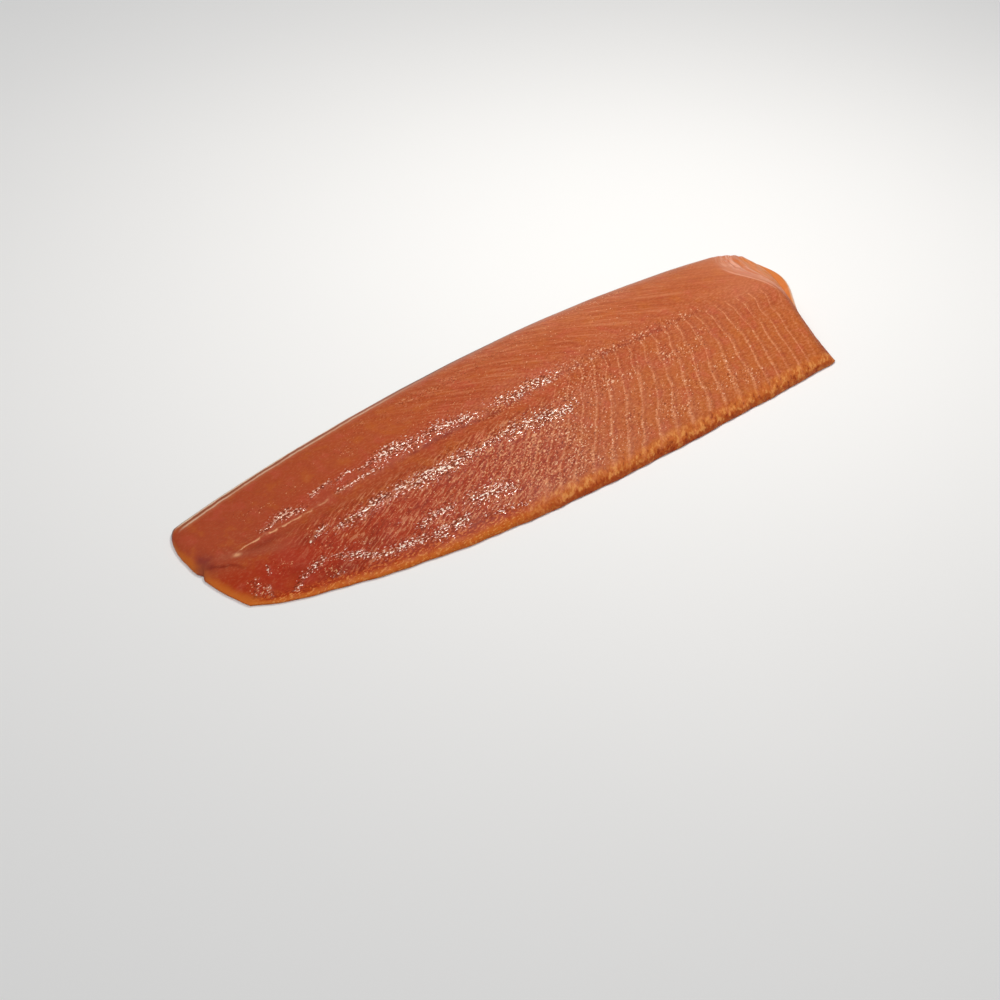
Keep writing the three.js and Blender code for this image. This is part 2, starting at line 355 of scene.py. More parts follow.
# where pale and dark grains show, wet or dry
def grainMark(t, s, x, y, seams, glint):
    shares = surface["grainShares"]
    clusters = clustersAt(x, y, surface["grainClusters"], surface["seeds"]["grainy"])
    spread = lerp(shares["betweenClusters"], 1.0, clusters)
    belly = lerp(shares["bellyAtTail"], 1.0, smooth(t, 0.25, 0.5)) * between(t, 0.1, 0.68, 0.12)
    belly = belly * between(s, -0.92, -0.06, 0.1) * spread
    tail = clusters * between(t, 0.06, 0.2, 0.04) * between(s, -0.92, -0.3, 0.1)
    tail = tail + shares["tailRow"] * hump(t, 0.038, 0.012) * between(s, -0.95, -0.42, 0.15)
    rim = between(t, 0.02, 0.46, 0.05) * smooth(s, -0.86, -0.92)
    dots = shares["dotRow"] * hump(s, -0.18, 0.1) + shares["dotField"] * between(s, -0.9, -0.3, 0.15)
    dots = clusters * between(t, 0.56, 0.93, 0.06) * dots
    nearSeam = np.cos(np.pi * seams) ** 6 * between(t, 0.5, 0.95, 0.1) * between(s, -0.9, 0.16, 0.08)
    belt = clusters * hump(s, 0.67, 0.09) * smooth(t, 0.26, 0.34) * (1.0 - smooth(t, 0.5, 0.66))
    farBelt = clusters * hump(s, 0.82, 0.07) * between(t, 0.6, 0.92, 0.08)
    midLine = lerp(*shares["midLine"], clusters) * hump(s, np.interp(t, *surface["midSeam"]), 0.06)
    midLine = midLine * between(t, 0.4, 0.88, 0.08)
    pores = clusters * hump(s, 0.5, 0.12) * between(t, 0.07, 0.34, 0.06)
    patch = spread * streakMark(surface["grainPatch"], t, s)
    marks = [
        belly,
        shares["tail"] * tail,
        shares["rim"] * rim,
        shares["dots"] * dots,
        shares["nearSeam"] * nearSeam,
        belt,
        shares["farBelt"] * farBelt,
        midLine,
        shares["pores"] * pores,
        shares["everywhere"] * between(t, 0.25, 0.85, 0.2),
        patch,
    ]
    return together(marks) * (1.0 - shares["lostWhereWet"] * glint)


# 1 along the seams, 0 in the middle of a flake
def seamGroove(seams, sharpness):
    return (0.5 + 0.5 * np.cos(2.0 * np.pi * seams)) ** sharpness


# low relief of the shown side, on top of the plain form
def fleshRelief(x, y, t, s, seams, glint):
    seeds = surface["seeds"]
    relief = -surface["flakeDepth"] * flakeShow(t, s) * seamGroove(seams, surface["grooveSharpness"])
    for count, (size, height) in enumerate(surface["swells"]):
        relief = relief + height * lumps(x, y, size, seeds["swells"] + count)
    turn = math.radians(surface["glintTurn"])
    along = x * math.cos(turn) + y * math.sin(turn)
    over = y * math.cos(turn) - x * math.sin(turn)
    size, height, drawn = surface["wetGrains"]
    relief = relief + height * glint * lumps(drawn * along, over, size, seeds["wetGrains"])
    rags = sum(height * lumps(x, y, size, seeds["rimRags"] + count)
               for count, (size, height) in enumerate(surface["rimRags"]))
    return relief + smooth(s, *surface["rimRise"]) * rags


# the collar's cut, in steps
def terraced(cut, x, y):
    layers, stepped, uneven, size = surface["terraces"]
    wave = 2.0 * np.pi * (layers * cut + uneven * lumps(x, y, size, surface["seeds"]["terraces"]))
    step = stepped * np.sin(wave) / (2.0 * np.pi * layers)
    return np.clip(cut - step * 4.0 * cut * (1.0 - cut), 0.0, 1.0)


def filletGrid():
    def eased(count, ease):
        even = np.linspace(0.0, 1.0, count)
        return lerp(even, 0.5 - 0.5 * np.cos(np.pi * even), ease)

    t, s = np.meshgrid(eased(*fillet["columns"]), 2.0 * eased(*fillet["rows"]) - 1.0, indexing="ij")
    x, y = planPoint(t, s)
    evenSeams = flakeNumber(t, s)
    seams = evenSeams
    for share, start, full in (surface["seamKink"], surface["seamHook"]):
        seams = seams + share * smooth(s, start, full)
    for count, (size, share) in enumerate(surface["seamWander"]):
        seams = seams + share * lumps(x, y, size, surface["seeds"]["seamWander"] + count)
    glint = glintMark(t, s, x, y)
    cut = cutShare(t, s)
    meat = meatThickness(t, s) + longReliefHeight(t, s) + fleshRelief(x, y, t, s, seams, glint)
    z = fillet["footHeight"] + (meat - fillet["footHeight"]) * edgeRounding(t, s, terraced(cut, x, y))
    scallops = flakeShow(t, s) * seamGroove(evenSeams, surface["scallopSharpness"])
    y = y + fillet["scallopDepth"] * (scallops * smooth(s, *surface["scallopRise"]))
    marks = {
        "along": t,
        "across": s,
        "seams": seams,
        "glint": glint,
        "cut": cut,
        "grainy": grainMark(t, s, x, y, seams, glint),
        "fromMid": s - np.interp(t, *surface["midSeam"]),
        "fromBack": np.hypot(x - x[:, -1:], y - y[:, -1:]),  # millimetres
    }
    return x, y, z, marks


def buildFillet(name):
    x, y, z, marks = filletGrid()
    columns, rows = x.shape
    index = np.arange(columns * rows).reshape(columns, rows)
    points = np.stack([x, y, z], -1).reshape(-1, 3)
    marks = {label: values.reshape(-1) for label, values in marks.items()}
    quads = np.stack([index[:-1, :-1], index[1:, :-1], index[1:, 1:], index[:-1, 1:]], -1).reshape(-1, 4)

    # the outline once round, then rings that turn under to the flat foot
    outline = np.concatenate([index[:-1, 0], index[-1, :-1], index[:0:-1, -1], index[0, :0:-1]])
    rim = {label: values[outline] for label, values in marks.items()}
    rings = [outline]
    for ring in range(1, fillet["footRings"] + 1):
        turn = 0.5 * np.pi * ring / fillet["footRings"]
        inset = fillet["footInset"] * (1.0 - math.cos(turn))
        endInset = inset / fillet["length"]
        sideInset = 2.0 * inset / fillet["width"]
        xIn, yIn = planPoint(lerp(endInset, 1.0 - endInset, rim["along"]), rim["across"] * (1.0 - sideInset))
        zIn = np.full_like(xIn, fillet["footHeight"] * (1.0 - math.sin(turn)))
        rings.append(len(points) + np.arange(len(outline)))
        points = np.concatenate([points, np.stack([xIn, yIn, zIn], -1)])
        marks = {label: np.concatenate([values, rim[label]]) for label, values in marks.items()}
    sides = [np.stack([a, b, np.roll(b, -1), np.roll(a, -1)], -1) for a, b in zip(rings, rings[1:])]
    faces = np.concatenate([quads] + sides).tolist() + [rings[-1][::-1].tolist()]

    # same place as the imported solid
    low, high = (np.array(c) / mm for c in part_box(fillet["node"]))
    edge = points[outline]
    points[:, :2] += (0.5 * (low + high) - 0.5 * (edge.min(0) + edge.max(0)))[:2]

    # the ragged tail end
    size, depth = surface["tailRags"]
    nearTail = 1.0 - smooth(marks["along"] * fillet["length"], 0.0, 2.0 * size)
    rags = lumps(points[:, 0], points[:, 1], size, surface["seeds"]["tailRags"])
    points[:, 0] += depth * nearTail * (0.5 + 0.5 * rags)

    mesh = bpy.data.meshes.new(name)
    mesh.from_pydata((points * mm).tolist(), [], faces)
    mesh.shade_smooth()
    for label, values in marks.items():
        mesh.attributes.new(label, "FLOAT", "POINT").data.foreach_set("value", values)
    piece = bpy.data.objects.new(name, mesh)
    bpy.context.scene.collection.objects.link(piece)
    print("fillet:", len(points), "points,", len(faces), "faces")
    return piece


# One socket of a shader: sums on it become Math nodes.
class Wire:
    def __init__(self, shader, socket):
        self.shader = shader
        self.socket = socket

    def math(self, operation, *others):
        return self.shader.add("Math", {"operation": operation}, dict(enumerate((self,) + others)))

    def __add__(self, other):
        return self.math("ADD", other)

    def __sub__(self, other):
        return self.math("SUBTRACT", other)

    def __mul__(self, other):
        return self.math("MULTIPLY", other)

    def __truediv__(self, other):
        return self.math("DIVIDE", other)

    def __rsub__(self, other):
        return self.shader.add("Math", {"operation": "SUBTRACT"}, {0: other, 1: self})

    __radd__ = __add__
    __rmul__ = __mul__


class Shader:
    def __init__(self, name):
        self.material = bpy.data.materials.new(name)
        self.material.use_nodes = True
        self.tree = self.material.node_tree
        self.tree.nodes.clear()

    # any node: its type, its settings, then the values or wires of its sockets
    def add(self, kind, settings=None, sockets=None, out=0):
        node = self.tree.nodes.new("ShaderNode" + kind)
        for key, value in (settings or {}).items():
            setattr(node, key, value)
        for key, value in (sockets or {}).items():
            if isinstance(value, Wire):
                self.tree.links.new(value.socket, node.inputs[key])
            else:
                node.inputs[key].default_value = value
        return Wire(self, node.outputs[out]) if node.outputs else None

    def attribute(self, name):
        return self.add("Attribute", {"attribute_name": name}, out="Fac")

    def place(self):
        return self.add("TexCoord", out="Object")

    # turned about the upright axis, then squeezed
    def turned(self, vector, degrees, scale):
        return self.add("Mapping", {"vector_type": "TEXTURE"},
                        {"Vector": vector, "Rotation": (0.0, 0.0, math.radians(degrees)), "Scale": scale})

    def noise(self, vector, scale, detail=2.0, rough=0.5):
        return self.add("TexNoise", {"noise_dimensions": "3D"},
                        {"Vector": vector, "Scale": scale, "Detail": detail, "Roughness": rough})

    # a noise made to swing about nought
    def swing(self, noise, reach):
        return (noise - 0.5) * reach

    def rise(self, value, start, full, low=0.0, high=1.0):
        return self.add("MapRange", {"interpolation_type": "SMOOTHSTEP"},
                        {"Value": value, "From Min": start, "From Max": full, "To Min": low, "To Max": high})

    def fall(self, value, start, end):
        return self.rise(value, start, end, 1.0, 0.0)

    def between(self, value, start, end, ease):
        return self.rise(value, start, start + ease) * self.fall(value, end - ease, end)

    def hump(self, value, at, spread):
        away = (value - at) / spread
        return (away * away * -1.0).math("EXPONENT")

    def mix(self, first, second, share):
        return self.add("Mix", {"data_type": "RGBA"}, {"Factor": share, 6: first, 7: second}, out=2)

    def bump(self, height, depth):
        return self.add("Bump", sockets={"Height": height, "Distance": depth, "Strength": 1.0})

    def principled(self, sockets):
        return self.add("BsdfPrincipled", sockets=sockets)

    def finish(self, surface):
        self.add("OutputMaterial", sockets={"Surface": surface})
        print("material:", self.material.name, len(self.tree.nodes), "nodes")
        return self.material


# a colour as seen on a screen, 0 to 255, for a shader
def screenColour(red, green, blue):
    def toLight(value):
        value /= 255.0
        return value / 12.92 if value <= 0.04045 else ((value + 0.055) / 1.055) ** 2.4

    return (toLight(red), toLight(green), toLight(blue), 1.0)


fleshLook = {
    "colours": {
        "loinTail": (168, 72, 42),
        "loinMid": (174, 80, 42),
        "loinHead": (178, 92, 52),
        "bellyTail": (166, 54, 24),
        "bellyMid": (170, 70, 33),
        "bellyHead": (182, 96, 48),
        "loinSheen": (194, 116, 78),
        "golden": (190, 104, 36),
        "rosy": (188, 82, 62),
        "deepRed": (122, 32, 16),
        "speckDark": (110, 38, 18),
        "speckPale": (234, 174, 128),
        "seamPale": (222, 150, 108),
        "glintWhite": (254, 234, 218),
        "litFoldBrown": (166, 78, 52),
        "glassRed": (166, 44, 24),
        "plum": (116, 46, 48),
        "rimRed": (178, 62, 10),
        "amberEdgeGlow": (198, 106, 38),
        "rimOrange": (196, 104, 44),
        "rimPale": (228, 156, 86),
        "sideRed": (168, 70, 26),
        "backTan": (188, 116, 78),
        "backBrown": (120, 64, 46),
        "backCream": (232, 208, 182),
        "skinGrey": (84, 62, 52),
        "skinSide": (112, 106, 100),
        "backGrey": (176, 130, 108),
        "collarPale": (206, 130, 96),
        "collarPink": (230, 168, 144),
        "collarRed": (186, 84, 60),
        "flapOrange": (208, 120, 54),
    },
    # how much of each coat shows
    "shares": {
        "goldenClouds": 0.3,
        "rosyClouds": 0.35,
        "redMottle": 0.12,
        "sheenAlongLoin": 0.32,
        "hollowShade": 0.1,
        "redBelly": 0.45,
        "redRidge": 0.35,
        "shadeOfTailCrack": 0.7,
        "glassHollow": 0.6,
        "bellyHairsPale": 0.34,
        "bellyHairsRed": 0.5,
        "loinHairsPale": 0.25,
        "loinHairsRed": 0.22,
        "seams": 0.55,
        "loinSeams": 0.1,
        "seamShade": 0.2,
        "finePale": 0.18,
        "fineRed": 0.32,
        "specksDark": 0.75,
        "fatAndSparkleSpecks": 0.75,
        "specksLostOnBelt": 0.4,
        "speckGlintShare": 0.35,
        "wetSheenShare": 0.06,
        "shadeAmongWetGrains": 0.85,
        "glintHaloShare": 0.45,
        "paintedGlintShare": 0.97,
        "warmOnRidge": 0.6,
        "warmAtTail": 0.4,
        "strandKnot": 0.7,
        "midDark": 0.5,
        "headPale": 0.25,
        "collarPale": 0.5,
        "collarRed": 0.5,
        "collarTop": 0.6,
        "collarSheen": 0.3,
        "flapOrange": 0.8,
        "flapCream": 0.6,
        "bellyCutShade": 0.4,
        "tailRim": 0.8,
        "tailRimRed": 0.6,
        "tailRimPale": 0.5,
        "flakyRim": 0.65,
        "flakyPale": 0.65,
        "flakyRed": 0.6,
        "sideFlakes": 0.6,
        "tailEndGlow": 0.85,
        "plumStain": 0.65,
        "backTan": 0.6,
        "backBrown": 0.75,
        "backCream": 0.8,
        "backGrey": 0.4,
    },
    # noises: how many to a metre, detail, roughness
    "patches": (28.0, 4.0, 0.6),
    "clouds": (75.0, 2.0, 0.5),
    "mottle": (140.0, 3.0, 0.6),
    "collarLayers": (16.0, 4.0, 0.65),
    # fibrous noises: turn in degrees, how far drawn out, how many to a metre, detail
    "fine": (surface["glintTurn"], 2.0, 700.0, 2.0),
    "grain": (surface["glintTurn"], 1.6, 760.0, 2.0),
    "specks": (surface["fibreTurn"], 1.8, 820.0, 2.0),
    "bellyHairs": (surface["fibreTurn"], 8.0, 620.0, 2.0),
    "loinHairs": (-30.0, 22.0, 420.0, 1.0),
    "rimFlakes": (60.0, 2.5, 300.0, 3.0),
    "fibreRoughness": 0.6,
    "grainLostWhereDry": 0.14,
    "specksLostWhereSmooth": 0.12,
    "foldSlant": 2.8,  # on s for each t
    "crackSlant": 9.5,
    "collarSheet": (0.2, 0.15),  # how squeezed the layers are across the side, and how they waver
    "backRagged": 40.0,  # millimetres for each unevenness
    "skinRagged": 12.0,
    # deep red spots: place and spread as t and s, strength
    "redSpots": [
        (0.1, -0.03, 0.03, 0.05, 0.5), (0.155, -0.25, 0.018, 0.06, 0.45), (0.16, -0.8, 0.035, 0.09, 0.5),
        (0.228, -0.6, 0.015, 0.1, 0.4), (0.1, -0.62, 0.02, 0.1, 0.3), (0.4, 0.105, 0.04, 0.02, 0.4)],
    "grainDepth": (0.7, 0.08),  # millimetres: what wet adds, and dry
    "fineDepth": (0.15, 0.06),
    "dryRoughness": 0.42,
    "wetRoughness": 0.13,
    "uneven": (0.15, 0.4),  # swing of the roughness, and the share of it where wet
    "drySpecular": 0.1,
    "wetSpecular": 0.8,
    "indexOfRefraction": 1.45,
    "subsurface": (0.15, 0.003),  # weight, metres
    "subsurfaceRadius": (1.0, 0.35, 0.2),
}


# The flesh is laid on in coats, each over the ones before.
class Flesh(Shader):
    def __init__(self):
        super().__init__("curedFlesh")
        self.colour = {name: screenColour(*value) for name, value in fleshLook["colours"].items()}
        self.spot = self.place()
        self.t = self.attribute("along")
        self.s = self.attribute("across")
        self.seams = self.attribute("seams")
        self.glint = self.attribute("glint")
        self.grainy = self.attribute("grainy")
        self.cut = self.attribute("cut")
        self.fromMid = self.attribute("fromMid")
        self.fromBack = self.attribute("fromBack")
        self.patches = self.noise(self.spot, *fleshLook["patches"])
        self.clouds = self.noise(self.spot, *fleshLook["clouds"])
        self.mottle = self.noise(self.spot, *fleshLook["mottle"])
        self.fine = self.fibrous("fine")
        self.grain = self.fibrous("grain")
        dryness = (1.0 - self.glint) * fleshLook["grainLostWhereDry"]
        self.highGrain = self.grain - dryness
        self.lowGrain = self.grain + dryness
        self.wet = self.rise(self.glint, 0.02, 0.15)

    # noise drawn out along one direction, seen from above
    def fibrous(self, name):
        degrees, stretch, scale, detail = fleshLook[name]
        drawn = self.turned(self.spot, degrees, (stretch, 1.0, 1.0))
        return self.noise(drawn, scale, detail, fleshLook["fibreRoughness"])

    # one more coat: its colour, where it lies, and which share of it shows
    def lay(self, colour, where, share=None):
        if share:
            where = where * fleshLook["shares"][share]
        self.flesh = self.mix(self.flesh, self.colour[colour], where)

    # from tail to head and from belly to back, with golden and rosy clouds, a painted sheen along the loin
    # and painted shade in the hollow along the middle
    def layGround(self):
        t, s, colour = self.t, self.s, self.colour
        belly = self.mix(colour["bellyTail"], colour["bellyMid"], self.rise(t, 0.1, 0.38))
        belly = self.mix(belly, colour["bellyHead"], self.rise(t, 0.35, 0.8))
        loin = self.mix(colour["loinTail"], colour["loinMid"], self.rise(t, 0.05, 0.42))
        loin = self.mix(loin, colour["loinHead"], self.rise(t, 0.4, 0.92))
        self.flesh = self.mix(belly, loin, self.rise(s + self.swing(self.patches, 0.4), -0.4, -0.05))
        self.lay("golden", self.rise(self.clouds, 0.52, 0.72), "goldenClouds")
        self.lay("rosy", self.fall(self.clouds, 0.3, 0.48), "rosyClouds")
        self.lay("deepRed", self.rise(self.mottle, 0.5, 0.75), "redMottle")
        # painted sheen: a paler band along the top of the loin
        self.lay("loinSheen", self.hump(s, 0.72, 0.17) * self.rise(t, 0.36, 0.6), "sheenAlongLoin")
        # painted shade in the hollow along the middle, in deep red
        self.lay("deepRed", self.hump(s, 0.0, 0.14) * self.fall(t, 0.35, 0.5), "hollowShade")
        belly = self.between(s, -0.95, -0.1, 0.2) * self.between(t, 0.02, 0.62, 0.12)
        self.lay("glassRed", belly, "redBelly")
        self.lay("glassRed", self.hump(s, 0.18, 0.12) * self.between(t, 0.08, 0.5, 0.12), "redRidge")

    # mostly near the tail: painted light on the top of a smooth fold, red spots, painted shade of a crack by
    # the notch and a glassy red hollow
    def layTail(self):
        t, s = self.t, self.s
        # painted light: a lighter brown along the top of the tail's fold
        fold = self.hump(s + t * fleshLook["foldSlant"], 0.14, 0.08)
        self.lay("litFoldBrown", fold * self.rise(t, 0.02, 0.04) * self.fall(t, 0.08, 0.16))
        for along, across, long, wide, strength in fleshLook["redSpots"]:
            spot = self.hump(t + self.swing(self.clouds, 0.03), along, long) * self.hump(s, across, wide)
            self.lay("deepRed", spot * strength)
        # painted shade of a crack by the notch: a dark line in deep red
        crackShade = self.hump(s + t * fleshLook["crackSlant"] + self.swing(self.mottle, 0.2), 0.2, 0.04)
        self.lay("deepRed", crackShade * self.rise(t, 0.006, 0.015) * self.fall(t, 0.03, 0.06), "shadeOfTailCrack")
        self.lay("glassRed", self.hump(s, -0.6, 0.18) * self.hump(t, 0.07, 0.03), "glassHollow")

    # fine fibres, one way in the belly and the other in the loin
    def layFibres(self):
        t, s = self.t, self.s
        hairs = self.fibrous("bellyHairs")
        shown = self.fall(s, -0.1, 0.0) * self.rise(t, 0.08, 0.24) * self.fall(t, 0.5, 0.65)
        self.lay("speckPale", self.rise(hairs, 0.54, 0.62) * shown, "bellyHairsPale")
        self.lay("deepRed", self.fall(hairs, 0.38, 0.49) * shown, "bellyHairsRed")
        hairs = self.fibrous("loinHairs")
        shown = self.rise(s, 0.2, 0.36) * self.rise(t, 0.28, 0.5) * self.rise(t, 0.74, 0.92, 1.0, 0.55)
        self.lay("seamPale", self.rise(hairs, 0.5, 0.68) * shown, "loinHairsPale")
        self.lay("deepRed", self.fall(hairs, 0.32, 0.48) * shown, "loinHairsRed")

    # seams of fat between the flakes: thin at the top, broad and soft below, with a painted shade beside each
    def laySeams(self):
        t, s = self.t, self.s
        fromSeam = (self.seams + 0.5).math("FRACT") - 0.5
        fromSeam = fromSeam + self.swing(self.mottle, 0.06)
        width = self.rise(s, -0.95, -0.6, 0.22, 0.15) - self.rise(s, -0.25, -0.05, 0.0, 0.04)
        width = width * self.rise(self.clouds, 0.35, 0.65, 0.6, 1.2)
        broken = self.rise(self.mottle, 0.35, 0.55, 0.45, 1.0) * self.rise(self.fine, 0.35, 0.6, 0.6, 1.1)
        line = self.fall(fromSeam.math("ABSOLUTE") / width, 0.0, 1.0) * broken
        shown = self.fall(s - self.rise(t, 0.45, 0.66, -0.4, 0.0), 0.08, 0.16)
        shown = shown * self.rise(t, 0.3, 0.6) * self.fall(t, 0.955, 0.985)
        shown = shown * (1.0 - self.hump(s, -0.2, 0.06) * 0.6)
        self.lay("seamPale", line * shown, "seams")
        line = self.fall(fromSeam.math("ABSOLUTE"), 0.04, 0.16) * broken
        onLoin = self.rise(s, 0.2, 0.4) * self.rise(t, 0.34, 0.6) * self.fall(t, 0.7, 0.85)
        self.lay("seamPale", line * onLoin, "loinSeams")
        # painted shade beside each seam, in deep red
        self.lay("deepRed", self.hump(fromSeam, 0.25, 0.1) * shown, "seamShade")

    # dots of fat and dark pores, thicker where grainy, the pale dots partly painted sparkle; where wet,
    # painted glints on the grains and painted shade between them
    def layGrains(self):
        t, s, shares = self.t, self.s, fleshLook["shares"]
        specks = self.fibrous("specks")
        rarer = (1.0 - self.grainy) * fleshLook["specksLostWhereSmooth"]
        shown = self.rise(self.grainy, 0.02, 0.15)
        belt = self.hump(s, 0.67, 0.14) * self.fall(t, 0.5, 0.66)
        texture = self.rise(t, 0.05, 0.5, 0.4, 1.0) * self.rise(s, 0.2, 0.4, 1.0, 0.5)
        self.lay("speckPale", self.rise(self.fine, 0.5, 0.7) * texture, "finePale")
        self.lay("deepRed", self.fall(self.fine, 0.3, 0.52) * texture, "fineRed")
        self.lay("speckDark", self.fall(specks + rarer, 0.38, 0.44) * shown, "specksDark")
        # pale dots: partly fat, partly painted sparkle of the little bumps
        share = shares["fatAndSparkleSpecks"] - belt * shares["specksLostOnBelt"]
        self.lay("speckPale", self.rise(specks - rarer, 0.56, 0.62) * shown * share)
        headward = self.rise(t, 0.5, 0.6)
        # painted glints on the tips of the specks towards the head
        self.lay("glintWhite", self.rise(specks - rarer, 0.6, 0.66) * shown * headward, "speckGlintShare")
        # painted sheen: a paler ground where the flesh is wet
        self.lay("speckPale", self.rise(self.glint, 0.25, 0.9), "wetSheenShare")
        # painted shade in the hollows between the wet grains, in the dark speck colour
        self.lay("speckDark", self.fall(self.lowGrain, 0.435, 0.505) * self.wet, "shadeAmongWetGrains")
        # painted glints on the wet grains: a pink rim round white cores, warmer on the ridge near the tail
        # and at the tail end
        self.lay("collarPink", self.rise(self.highGrain, 0.5, 0.55) * self.wet, "glintHaloShare")
        glintSpots = self.rise(self.highGrain, 0.55, 0.595) * self.wet
        self.lay("glintWhite", glintSpots, "paintedGlintShare")
        warm = self.fall(t, 0.2, 0.34) * self.rise(s, 0.0, 0.05) * shares["warmOnRidge"]
        warm = warm + self.fall(t, 0.06, 0.12) * shares["warmAtTail"]
        self.lay("seamPale", glintSpots * warm)

    # the mid line: a pale strand near the tail, then a dark line
    def layMidLine(self):
        t, s = self.t, self.s
        near = self.fromMid + self.swing(self.mottle, 0.06)
        strand = self.hump(near, 0.0, 0.01) * self.rise(t, 0.05, 0.065) * self.fall(t, 0.12, 0.3)
        self.lay("speckPale", strand * self.rise(self.mottle, 0.38, 0.52, 0.15, 0.85))
        self.lay("speckPale", self.hump(t, 0.056, 0.006) * self.hump(s, -0.02, 0.03), "strandKnot")
        dark = self.hump(near, -0.01, 0.022) * self.rise(t, 0.3, 0.36) * self.fall(t, 0.8, 0.88)
        self.lay("deepRed", dark * self.rise(self.mottle, 0.4, 0.55), "midDark")

    # layers of the collar under a painted pink sheen, the flap at the head cut and painted shade on the cut
    # of the belly wall
    def layHeadCut(self):
        t, s, cut = self.t, self.s, self.cut
        squeeze, waver = fleshLook["collarSheet"]
        sheet = self.add("CombineXYZ", sockets={"X": cut, "Y": s * squeeze + self.patches * waver})
        layers = self.noise(sheet, *fleshLook["collarLayers"])
        collar = self.rise(s + self.swing(self.patches, 0.2), 0.05, 0.3)
        collar = collar * self.fall(cut + self.swing(self.patches, 0.3), 0.6, 0.95)
        self.lay("collarPale", self.rise(t, 0.84, 0.94) * self.rise(s, -0.1, 0.2), "headPale")
        self.lay("collarPale", self.rise(s, 0.0, 0.3) * self.fall(cut, 0.7, 1.0), "collarPale")
        self.lay("collarRed", collar * self.fall(layers, 0.35, 0.5), "collarRed")
        patchy = self.rise(self.mottle, 0.35, 0.6, 0.3, 0.8)
        self.lay("collarPink", collar * self.rise(layers, 0.48, 0.62) * patchy)
        top = self.hump(cut + self.swing(self.mottle, 0.06), 0.88, 0.035)
        self.lay("collarPink", top * self.rise(s, 0.0, 0.15) * self.fall(s, 0.45, 0.6), "collarTop")
        flap = self.rise(s, -0.15, 0.1) * self.fall(s, 0.78, 0.92)
        # a pink haze on the head cut: the pink of the collar layers with a painted sheen
        cutSheen = self.hump(cut + self.swing(layers, 0.3), 0.6, 0.2) * self.fall(s, 0.45, 0.75)
        self.lay("collarPink", flap * cutSheen, "collarSheen")
        self.lay("flapOrange", flap * self.fall(cut + self.swing(layers, 0.5), 0.2, 0.55), "flapOrange")
        self.lay("backCream", flap * self.rise(t + self.swing(layers, 0.004), 0.994, 0.998), "flapCream")
        # painted shade on the cut face of the belly wall, in deep red
        self.lay("deepRed", self.fall(cut, 0.2, 0.95) * self.fall(s, -0.3, 0.0), "bellyCutShade")

    # along the belly: red then amber near the tail, the amber partly a painted glow of light through the thin
    # edge, flaky with a red side further on
    def layBellyRim(self, uneven):
        t, s = self.t, self.s
        edge = s + uneven
        headward = self.rise(t, 0.42, 0.55)
        tailward = 1.0 - headward
        flakes = self.fibrous("rimFlakes")
        self.lay("rimRed", self.fall(edge, -0.92, -0.8) * tailward, "tailRim")
        streaks = self.fall(self.fine, 0.4, 0.54)
        self.lay("deepRed", self.hump(edge, -0.88, 0.06) * tailward * streaks, "tailRimRed")
        patchy = self.rise(flakes, 0.35, 0.6, 0.5, 0.9)
        # amber of the thin edge, partly a painted glow of light shining through it
        self.lay("amberEdgeGlow", self.fall(edge, -0.98, -0.91) * tailward * patchy)
        streaks = self.rise(self.fine, 0.55, 0.62)
        self.lay("rimPale", self.fall(edge, -0.93, -0.83) * tailward * streaks, "tailRimPale")
        flaky = self.fall(edge, -0.93, -0.86) * headward
        self.lay("rimOrange", flaky, "flakyRim")
        self.lay("rimPale", flaky * self.rise(flakes, 0.48, 0.64), "flakyPale")
        side = self.fall(s + uneven * 0.5 + self.swing(flakes, 0.08), -0.99, -0.97) * headward
        self.lay("sideRed", side * self.rise(t, 0.78, 0.95, 0.85, 0.45))
        self.lay("rimOrange", side * self.rise(flakes, 0.52, 0.62), "sideFlakes")
        self.lay("deepRed", flaky * self.fall(flakes, 0.32, 0.45), "flakyRed")

    # the tail end in amber, partly a painted glow of light through the thin end, with a plum stain by its
    # notch
    def layTailEnd(self):
        t, s = self.t, self.s
        reach = self.rise(s, -0.9, -0.3, 0.034, 0.017) + self.swing(self.patches, 0.03)
        self.lay("amberEdgeGlow", self.fall(t / reach, 0.15, 1.0), "tailEndGlow")
        stain = self.fall(t + self.swing(self.mottle, 0.03), 0.014, 0.04)
        self.lay("plum", stain * self.hump(s + self.swing(self.clouds, 0.4), 0.18, 0.17), "plumStain")

    # pale fat and a painted highlight line at the back of the tail, and the edge and side of the skin behind;
    # gaps in millimetres
    def layBackEdge(self, uneven):
        t = self.t
        gap = (self.fromBack + uneven * fleshLook["backRagged"]) / self.rise(t, 0.1, 0.45, 1.0, 1.45)
        fat = self.rise(t, 0.025, 0.05) * self.fall(t, 0.34, 0.46)
        self.lay("backTan", self.fall(gap, 7.0, 13.0) * fat, "backTan")
        # a painted highlight: a thin cream line along the back's rounding
        self.lay("backCream", self.hump(gap, 8.0, 0.8) * fat * self.rise(self.patches, 0.35, 0.6, 0.3, 0.6))
        self.lay("backBrown", self.hump(gap, 5.6, 1.0) * fat, "backBrown")
        self.lay("backCream", self.fall(gap, 3.2, 4.6) * fat, "backCream")
        skinEdge = self.rise(t, 0.34, 0.46) * self.fall(t, 0.88, 0.95)
        self.lay("backGrey", self.fall(gap, 6.0, 14.0) * skinEdge, "backGrey")
        patchy = self.rise(self.patches, 0.35, 0.6, 0.6, 0.9)
        self.lay("skinGrey", self.fall(gap, 5.4, 7.0) * skinEdge * patchy)
        skinTop = self.rise(t, 0.34, 0.46, 1.6, 4.2)
        skinSide = self.fall(self.fromBack - skinTop + uneven * fleshLook["skinRagged"], 0.0, 0.8)
        skinSide = skinSide * self.rise(t, 0.01, 0.03) * self.fall(t, 0.9, 0.97)
        self.lay("skinSide", skinSide * self.rise(self.mottle, 0.35, 0.6, 0.75, 0.95))

